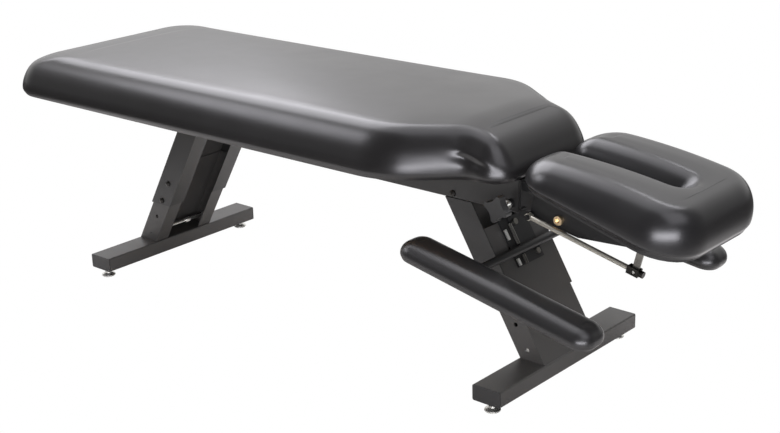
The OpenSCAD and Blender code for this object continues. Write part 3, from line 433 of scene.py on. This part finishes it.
# %% Cushion builder
# The crown goes on inward past the roll, to CROWN_SHARE times the roll's own width.
CROWN_SHARE, CROWN_STEPS = 1.3, (1.1, 1.2)
BOARD_INSET, HEM, DRAW_IN, DRAW_IN_POWER = 8 * MM, 3.0 * MM, 4.0 * MM, 2.2
HEM_ANGLES = np.radians([20, 55, 90])
SIDE_SHARES = np.linspace(0.125, 1, 8)
ROLL_ANGLES = np.radians(np.linspace(6, 90, 15))
LEAST_R = 4 * MM
FADE, FOAM_PASSES = 30 * MM, 120
COVER_PRESSURE, COVER_MASS, CLOTH_QUALITY, CLOTH_FRAMES = 3.0, 0.4, 5, 20
NO_LENGTH = 1e-9


def padded_mesh(name, foot_path, top_path, radii, least, shares, runs, profile, low, height_at):
    """Rings up the profile, a grid across the top, and a grid inside the board's pocket."""
    foot_path, top_path = np.array(foot_path, float), np.array(top_path, float)
    rings = [outline(foot_path + (top_path - foot_path) * rise / low,
                     radii, least, shares, runs, depth) for depth, rise in profile]
    count = len(rings[0])
    across = runs[-1]
    side = count // 2 - across
    verts, faces = [], []
    for ring, (_, rise) in zip(rings, profile):
        verts += [(p[0], p[1], rise / low * height_at(p[0])) for p in ring]
    for k in range(len(rings) - 1):
        below, above = k * count, (k + 1) * count
        for i in range(count):
            j = (i + 1) % count
            faces.append((below + i, below + j, above + j, above + i))

    def close(ring_index, flip):
        base = ring_index * count
        ids = [[base + i] + [None] * (across - 1) + [base + count - across - i]
               for i in range(side + 1)]
        ids[0] = [base] + [base + count - k for k in range(1, across)] + [base + count - across]
        ids[side] = [base + side + k for k in range(across + 1)]
        for i in range(1, side):
            a, b = np.array(verts[ids[i][0]]), np.array(verts[ids[i][-1]])
            for k in range(1, across):
                ids[i][k] = len(verts)
                verts.append(tuple(a + (b - a) * k / across))
        for i in range(side):
            for k in range(across):
                quad = (ids[i][k], ids[i][k + 1], ids[i + 1][k + 1], ids[i + 1][k])
                faces.append(quad if flip else quad[::-1])

    close(0, True)
    close(len(rings) - 1, False)
    mesh = bpy.data.meshes.new(name)
    mesh.from_pydata(verts, [], faces)
    mesh.validate()
    piece = bpy.data.objects.new(name, mesh)
    scene.collection.objects.link(piece)
    return piece


def side_profile(low, roll, roll_v, crown, pocket):
    """(inset, height) pairs from the board's pocket round the hem, up the side, over the roll."""
    pairs = [(BOARD_INSET, pocket), (BOARD_INSET, pocket / 2), (BOARD_INSET, HEM / 2),
             (BOARD_INSET - HEM, 0.0)]
    pairs += [(DRAW_IN + HEM * (1 - math.sin(t)), HEM * (1 - math.cos(t))) for t in HEM_ANGLES]
    top_of_side = low - roll_v
    for t in SIDE_SHARES:
        pairs.append((DRAW_IN * (1 - t) ** DRAW_IN_POWER, HEM + (top_of_side - HEM) * t))
    for t in ROLL_ANGLES:
        in_share = 1 - math.cos(t)
        drop = (roll_v - crown) * (1 - math.sin(t)) + crown * (1 - in_share / CROWN_SHARE) ** 2
        pairs.append((roll * in_share, low - drop))
    for in_share in CROWN_STEPS + (CROWN_SHARE,):
        pairs.append((roll * in_share, low - crown * (1 - in_share / CROWN_SHARE) ** 2))
    return pairs


def even_out(mesh, field, passes):
    """The field after each point has been averaged with its neighbours, several times over."""
    ends = np.array([edge.vertices[:] for edge in mesh.edges])
    degree = np.bincount(ends.ravel(), minlength=len(field))[:, None]
    for _ in range(passes):
        total = np.zeros_like(field)
        np.add.at(total, ends[:, 0], field[ends[:, 1]])
        np.add.at(total, ends[:, 1], field[ends[:, 0]])
        field = (field + total / degree) / 2
    return field


def soften(piece, pinned_below, cap):
    """Swells the cover a little with a cloth simulation that holds its stapled edge.

    The movement is capped. Foam spreads the pull of a cover, so it is also evened out, and
    it fades toward the staples."""
    before = np.array([v.co for v in piece.data.vertices])
    held = piece.vertex_groups.new(name="stapled_edge")
    held.add([i for i, p in enumerate(before) if p[2] <= pinned_below], 1.0, "REPLACE")
    cloth = piece.modifiers.new("cover", "CLOTH")
    settings = cloth.settings
    settings.quality = CLOTH_QUALITY
    settings.mass = COVER_MASS
    settings.use_pressure = True
    settings.uniform_pressure_force = COVER_PRESSURE
    settings.effector_weights.gravity = 0.0
    settings.vertex_group_mass = "stapled_edge"
    cloth.point_cache.frame_start, cloth.point_cache.frame_end = 1, CLOTH_FRAMES
    for f in range(1, CLOTH_FRAMES + 1):
        scene.frame_set(f)
    evaluated = piece.evaluated_get(bpy.context.evaluated_depsgraph_get())
    after = np.array([v.co for v in evaluated.data.vertices])
    move = after - before
    length = np.linalg.norm(move, axis=1, keepdims=True)
    move *= np.minimum(1.0, cap / np.maximum(length, NO_LENGTH))
    fade = np.clip((before[:, 2:3] - pinned_below) / FADE, 0.0, 1.0)
    move = even_out(piece.data, move, FOAM_PASSES) * fade
    piece.modifiers.remove(cloth)
    piece.vertex_groups.clear()
    piece.data.vertices.foreach_set("co", (before + move).astype(np.float32).ravel())
    piece.data.update()
    scene.frame_set(1)
    return float(np.abs(move).max())


def finish_cover(piece, material, body, node, place):
    """Puts a cushion where it belongs, gives it its vinyl, smooths it, and hides the solid it
    replaces.
    """
    piece.data.transform(place)
    piece.data.materials.append(material)
    for polygon in piece.data.polygons:
        polygon.use_smooth = True
    subdivision = piece.modifiers.new("smooth_foam", "SUBSURF")
    subdivision.levels = subdivision.render_levels = 1
    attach(piece, body)
    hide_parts(node)
    return piece


print("cloth frames for each cover:", CLOTH_FRAMES)

# %% [markdown]
# ## The bench cushion
# One long block of firm foam, its upper edge rolled over a wide radius. At the head end
# the shoulders taper into a short neck, and the vinyl gathers where the taper turns. The
# cloth run can't put one sharp fold in a chosen place, so that fold is pressed in by a
# formula, with a low ridge of pushed-up foam above it.

# %% Bench cushion
BENCH_ROLL, BENCH_ROLL_H, BENCH_CROWN = 58 * MM, 98 * MM, 5 * MM
FALL, FALL_RUN = 36 * MM, 150 * MM
CORNER_R, CORNER_TOP_R, SHOULDER_R, NECK_R = 105 * MM, 70 * MM, 200 * MM, 62 * MM
FOOT_ROLL_SHARE = 2.8
SHOULDER_BACK, NECK_BACK = 244 * MM, 94 * MM
BENCH_SWELL = 5 * MM
bench_lo, bench_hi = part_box("bench_cushion")
board_lo, board_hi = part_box("bench_board")
bench_x0, bench_x1, bench_half = bench_lo.x, bench_hi.x, bench_hi.y
shoulder_x, neck_x, neck_half = bench_x1 - SHOULDER_BACK, bench_x1 - NECK_BACK, 180 * MM
BRIDGED_HALF = 191.5 * MM
bench_radii = [CORNER_R, SHOULDER_R, NECK_R, NECK_R, NECK_R, NECK_R, SHOULDER_R, CORNER_R]
bench_least = [CORNER_TOP_R] + [LEAST_R] * 6 + [CORNER_TOP_R]
bench_shares = [1.0] * 7 + [FOOT_ROLL_SHARE]
bench_runs = [90, 14, 6, 36, 6, 14, 90, 36]

# The fold: where it starts and ends (along the bench, above its base), how deep and wide it
# is, and how its ridge compares with it.
FOLD_START, FOLD_END = (neck_x - 30 * MM, 57 * MM), (neck_x + 70 * MM, 28 * MM)
FOLD_DEPTH, FOLD_WIDTH = 7.5 * MM, 7 * MM
FOLD_DEEPEST, FADE_BEFORE, FADE_AFTER = 0.3, 0.25, 0.5
RIDGE_HEIGHT, RIDGE_AWAY, RIDGE_WIDTH = 0.6, 2, 1.3


def bench_path(neck):
    side = [(bench_x0, bench_half), (shoulder_x, bench_half),
            (neck_x, neck), (bench_x1, neck_half)]
    return [(x, -y) for x, y in side] + side[::-1]


def pucker(piece, start, end, depth, width):
    """Folds the cover in along a short line on its near side, with a ridge above it."""
    start, end = np.array(start), np.array(end)
    along = unit(end - start)
    points = np.array([v.co for v in piece.data.vertices])
    flat = points[:, [0, 2]] - start
    reach = flat @ along / np.linalg.norm(end - start)
    aside = flat @ np.array([-along[1], along[0]])
    fade = np.where(reach < FOLD_DEEPEST, FADE_BEFORE, FADE_AFTER)
    window = np.exp(-((reach - FOLD_DEEPEST) / fade) ** 2) * (points[:, 1] < -neck_half / 2)
    ridge = np.exp(-((aside - RIDGE_AWAY * width) / (RIDGE_WIDTH * width)) ** 2)
    fold = np.exp(-(aside / width) ** 2) - RIDGE_HEIGHT * ridge
    points[:, 1] += depth * fold * window
    piece.data.vertices.foreach_set("co", points.astype(np.float32).ravel())
    piece.data.update()


def make_bench():
    height, board_t = bench_hi.z - bench_lo.z, board_hi.z - board_lo.z
    profile = side_profile(height, BENCH_ROLL, BENCH_ROLL_H, BENCH_CROWN, board_t)

    def height_at(x):
        return height - FALL * max(0.0, 1 - (bench_x1 - x) / FALL_RUN) ** 2

    piece = padded_mesh("bench_cover", bench_path(neck_half), bench_path(BRIDGED_HALF),
                        bench_radii, bench_least, bench_shares, bench_runs,
                        profile, height, height_at)
    puff = soften(piece, board_t, BENCH_SWELL)
    print("bench cover swelled mm:", round(puff / MM, 2))
    pucker(piece, FOLD_START, FOLD_END, FOLD_DEPTH, FOLD_WIDTH)
    place = Matrix.Translation((0, 0, bench_lo.z))
    return finish_cover(piece, BENCH_VINYL, "bench", "bench_cushion", place)


bench_cover = make_bench()
print("bench cover faces:", len(bench_cover.data.polygons))

# %% [markdown]
# ## The headpiece cushion
# A thick pad with a slot for the face, open toward the bench. The two lobes beside the
# slot are rounded all round their ends, and the pad grows thicker toward its head end.

# %% Headpiece cushion
HEAD_TILT = math.radians(14.6)
HEAD_BACK, HEAD_RISE, HEAD_L = 24 * MM, 33 * MM, 426 * MM
HEAD_T, HEAD_T_FRONT, HEAD_BULGE = 53 * MM, 97 * MM, 14 * MM
HEAD_ROLL, HEAD_ROLL_V, HEAD_CROWN = 56 * MM, 44 * MM, 4 * MM
HEAD_POCKET, HEAD_PINNED, HEAD_SWELL = 6 * MM, 1.5 * MM, 4 * MM
SLOT_ROLL_SHARE = 0.8
head_path = np.array([(0, -179), (426, -194), (426, 194), (0, 179),
                      (0, 31), (296, 11), (296, -11), (0, -31)]) * MM
head_radii = np.array([84, 104, 104, 84, 46, 10.12, 10.12, 46]) * MM
head_shares = [1.0] * 4 + [SLOT_ROLL_SHARE] * 3 + [1.0]
head_runs = [26, 20, 26, 12, 26, 20, 26, 12]
hinge = Vector(joints["headpiece_tilt"]["pos_m"])
AT_HINGE = (Matrix.Translation(hinge) @ Matrix.Rotation(HEAD_TILT, 4, "Y")
            @ Matrix.Translation((-HEAD_BACK, 0, HEAD_RISE)))


def make_headpiece():
    profile = side_profile(HEAD_T, HEAD_ROLL, HEAD_ROLL_V, HEAD_CROWN, HEAD_POCKET)

    def thickness(x):
        along = x / HEAD_L  # 4 a (1 - a) is 0 at both ends and 1 in the middle
        return HEAD_T + (HEAD_T_FRONT - HEAD_T) * along + HEAD_BULGE * 4 * along * (1 - along)

    piece = padded_mesh("headpiece_cover", head_path, head_path, head_radii,
                        [LEAST_R] * len(head_path), head_shares, head_runs,
                        profile, HEAD_T, thickness)
    puff = soften(piece, HEAD_PINNED, HEAD_SWELL)
    print("headpiece cover swelled mm:", round(puff / MM, 2))
    return finish_cover(piece, HEAD_VINYL, "headpiece", "head_cushion",
                        AT_HINGE)


head_cover = make_headpiece()
print("headpiece cover faces:", len(head_cover.data.polygons))

# %% [markdown]
# ## The armrest pads
# Two narrow pads on angle brackets. Each is a plain rounded bar of foam, tilted on the
# crossbar, and the far one is set a little higher than the near one.

# %% Armrest pads
ARM_L, ARM_W, ARM_T, ARM_R = 514 * MM, 97 * MM, 42 * MM, 38 * MM
ARM_ROLL, ARM_ROLL_V, ARM_CROWN = 30 * MM, 28 * MM, 3 * MM
ARM_Y, ARM_U, ARM_DROP, ARM_BOARD_T = 253 * MM, 101 * MM, 2 * MM, 12 * MM
ARM_SWELL = 3 * MM
ARM_TILTS = {"near": math.radians(11.3), "far": math.radians(8.2)}
arm_path = [(-ARM_L / 2, -ARM_W / 2), (ARM_L / 2, -ARM_W / 2),
            (ARM_L / 2, ARM_W / 2), (-ARM_L / 2, ARM_W / 2)]
arm_runs = [44, 4, 44, 4]


def make_armrest(side):
    profile = side_profile(ARM_T, ARM_ROLL, ARM_ROLL_V, ARM_CROWN, ARM_BOARD_T)
    piece = padded_mesh(f"{side}_armrest_cover", arm_path, arm_path, [ARM_R] * 4,
                        [LEAST_R] * 4, [1.0] * 4, arm_runs, profile, ARM_T, lambda x: ARM_T)
    soften(piece, ARM_BOARD_T, ARM_SWELL)
    pivot = Vector(joints[f"{side}_armrest_tilt"]["pos_m"])
    y = -ARM_Y if side == "near" else ARM_Y
    place = (Matrix.Translation((pivot.x, y, pivot.z)) @ Matrix.Rotation(ARM_TILTS[side], 4, "Y")
             @ Matrix.Translation((ARM_U, 0, -ARM_DROP)))
    return finish_cover(piece, ARM_VINYL, f"{side}_armrest", f"{side}_arm_pad",
                        place)


arm_covers = [make_armrest(side) for side in ("near", "far")]
print("armrest covers:", len(arm_covers))

# %% [markdown]
# ## The armrest clamp
# The crossbar is held between a plate and ribbed clamps on the front leg. The ribs and the
# bright ends of the clamp's studs are too small for the solids, so they are laid on the plate.

# %% Clamp ribs and stud ends
LEG_LEAN = math.radians(30.7)
RIB_T, RIB_OUT, STUD_W, STUD_OUT = 2.2 * MM, 4.5 * MM, 7 * MM, 5 * MM
RIB_RUNS = [(46 * MM, -6 * MM), (-31 * MM, -53 * MM)]
STUD_RUNS = [(37 * MM, 11 * MM), (-35 * MM, -52 * MM)]
RIB_YS, STUD_Y = (-27 * MM, -20.5 * MM), -48 * MM
CLAMP_EDGE = 0.6 * MM


def leg_box(name, y, width, run, out, material):
    """A bevelled block on the face of the armrest clamp, its length along the leg."""
    outward = Vector((math.cos(LEG_LEAN), 0, math.sin(LEG_LEAN)))
    up = Vector((-math.sin(LEG_LEAN), 0, math.cos(LEG_LEAN)))
    length = run[0] - run[1]
    corners = [(a, b, c) for a in (0, 1) for b in (-0.5, 0.5) for c in (-0.5, 0.5)]
    faces = [(0, 1, 3, 2), (4, 6, 7, 5), (0, 4, 5, 1), (2, 3, 7, 6), (0, 2, 6, 4), (1, 5, 7, 3)]
    centre = CLAMP_FACE * outward + sum(run) / 2 * up + Vector((0, y, 0))
    verts = [centre + a * out * outward + Vector((0, b * width, 0)) + c * length * up
             for a, b, c in corners]
    mesh = bpy.data.meshes.new(name)
    mesh.from_pydata(verts, [], faces)
    mesh.materials.append(material)
    piece = bpy.data.objects.new(name, mesh)
    scene.collection.objects.link(piece)
    bevel = piece.modifiers.new("edge_break", "BEVEL")
    bevel.width, bevel.segments = CLAMP_EDGE, 2
    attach(piece, "bench")


clamp_lo, clamp_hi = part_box("armrest_clamp_plate")
PLATE_T = 3 * MM
CLAMP_FACE = (clamp_hi.x * math.cos(LEG_LEAN)
              + (clamp_lo.z + PLATE_T * math.sin(LEG_LEAN)) * math.sin(LEG_LEAN))
print("clamp face mm from the origin:", round(CLAMP_FACE / MM, 1))
for i, run in enumerate(RIB_RUNS):
    for k, y in enumerate(RIB_YS):
        leg_box(f"clamp_rib_{i}_{k}", y, RIB_T, run, RIB_OUT, MILL_STEEL)
for i, run in enumerate(STUD_RUNS):
    leg_box(f"clamp_stud_{i}", STUD_Y, STUD_W, run, STUD_OUT, ZINC)

# %% [markdown]
# ## Floor and light
# The table stood on white paper in a studio. Black vinyl shows almost nothing but what it
# reflects, so each light was placed by reading a highlight backwards: the slope of the
# cushion there gives the direction that it mirrors. That gave a bright wall beyond the
# foot end on the far side, and six soft boxes: above the foot end, to the left of the
# camera, overhead, above the head end, low and wide to the right of the camera, and a small
# one on the far side. The paper was lit in a pool round the table, and that pool is painted
# light: the paper's colour is pale near the table and darker beyond. The picture was cut
# out to pure white afterwards: the eye sees white, the reflections see the painted pool.

# %% Studio
FLOOR_SIZE = 60.0
POOL_RADIUS, POOL_EDGE = 1.15, 2.0
# Painted light: the pale paper inside the lit pool, and the darker paper beyond it.
PAPER, UNLIT_FLOOR = "#e8e6e2", "#4a4946"

# The room: how bright it is from the dark side (0) round to the bright wall (1), and the
# highest value that its curve may take.
ROOM_STOPS = [(0.0, 0.02), (0.3, 0.06), (0.56, 0.2), (0.72, 0.7), (0.86, 1.1), (1.0, 1.02)]
BRIGHTEST = 3.0
BRIGHT_WALL = (-0.68, 0.68, 0.28)
ROOM_TINT = (1.0, 0.99, 0.985, 1)

# Each soft box: name, place, the point it faces, width, height, radiance.
BOX_TINT = (0.945, 0.935, 1.0)
SOFT_BOXES = [
    ("foot_end_box", (-1.75, 0.5, 2.55), (-0.1, 0, 0.6), 2.4, 2.4, 4.6),
    ("left_box", (-2.3, -1.9, 2.3), (-0.3, -0.3, 0.6), 1.5, 1.2, 5.5),
    ("overhead_box", (0.3, -0.2, 3.3), (0.3, -0.2, 0), 3.4, 2.2, 1.7),
    ("head_end_box", (3.3, -0.6, 3.1), (1.2, 0, 0.3), 2.8, 2.4, 2.2),
    ("camera_side_box", (3.5, -3.15, 0.55), (0.5, -0.2, 0.5), 4.2, 1.1, 15.0),
    ("far_side_box", (0.65, 1.75, 3.3), (0.6, 0, 0.5), 1.8, 0.6, 8.0),
]


def make_floor():
    mesh = bpy.data.meshes.new("studio_floor")
    h = FLOOR_SIZE / 2
    mesh.from_pydata([(-h, -h, 0), (h, -h, 0), (h, h, 0), (-h, h, 0)], [], [(0, 1, 2, 3)])
    floor = bpy.data.objects.new("studio_floor", mesh)
    scene.collection.objects.link(floor)
    material, tree, shader = finish_named("white_seamless_paper", roughness=0.9)
    place = add(tree, "ShaderNodeTexCoord")
    away = add(tree, "ShaderNodeVectorMath", operation="LENGTH",
               links={0: place.outputs["Object"]})
    # The pool of light is painted into the paper's colour, which darkens away from the table.
    pool = add(tree, "ShaderNodeMapRange", interpolation_type="SMOOTHSTEP",
               links={"Value": away.outputs["Value"]},
               values={"From Min": POOL_RADIUS, "From Max": POOL_EDGE})
    shade = add(tree, "ShaderNodeMix", data_type="RGBA", links={"Factor": pool.outputs["Result"]},
                values={"A": linear(PAPER), "B": linear(UNLIT_FLOOR)})
    tree.links.new(shade.outputs["Result"], shader.inputs["Base Color"])
    white = add(tree, "ShaderNodeEmission", values={"Color": (1, 1, 1, 1), "Strength": 1.0})
    seen = add(tree, "ShaderNodeLightPath")
    both = add(tree, "ShaderNodeMixShader",
               links={0: seen.outputs["Is Camera Ray"], 1: shader.outputs["BSDF"],
                      2: white.outputs["Emission"]})
    tree.links.new(both.outputs["Shader"], tree.nodes["Material Output"].inputs["Surface"])
    mesh.materials.append(material)


def soft_box(name, at, toward, wide, high, radiance):
    """An area light of the given brightness, whatever its size."""
    data = bpy.data.lights.new(name, "AREA")
    data.shape = "RECTANGLE"
    data.size, data.size_y = wide, high
    data.energy = radiance * math.pi * wide * high
    data.color = BOX_TINT
    light = bpy.data.objects.new(name, data)
    light.location = at
    light.rotation_mode = "QUATERNION"
    light.rotation_quaternion = (Vector(toward) - Vector(at)).to_track_quat("-Z", "Y")
    scene.collection.objects.link(light)


def make_room():
    world = bpy.data.worlds.new("white_studio")
    scene.world = world
    world.use_nodes = True
    tree = world.node_tree
    tree.nodes.clear()
    toward = add(tree, "ShaderNodeTexCoord")
    facing = add(tree, "ShaderNodeVectorMath", operation="DOT_PRODUCT",
                 links={0: toward.outputs["Generated"]}, values={1: BRIGHT_WALL})
    share = add(tree, "ShaderNodeMapRange", links={"Value": facing.outputs["Value"]},
                values={"From Min": -1.0})
    ramp = add(tree, "ShaderNodeFloatCurve", links={"Value": share.outputs["Result"]})
    curve = ramp.mapping.curves[0]
    ramp.mapping.clip_max_y = BRIGHTEST
    for place, strength in ROOM_STOPS[1:-1]:
        curve.points.new(place, strength)
    curve.points[0].location, curve.points[-1].location = ROOM_STOPS[0], ROOM_STOPS[-1]
    ramp.mapping.update()
    sky = add(tree, "ShaderNodeBackground", links={"Strength": ramp.outputs["Value"]},
              values={"Color": ROOM_TINT})
    add(tree, "ShaderNodeOutputWorld", links={"Surface": sky.outputs["Background"]})


make_floor()
make_room()
for box in SOFT_BOXES:
    soft_box(*box)
scene.view_settings.view_transform = "Standard"
print("lights:", len(bpy.data.lights))
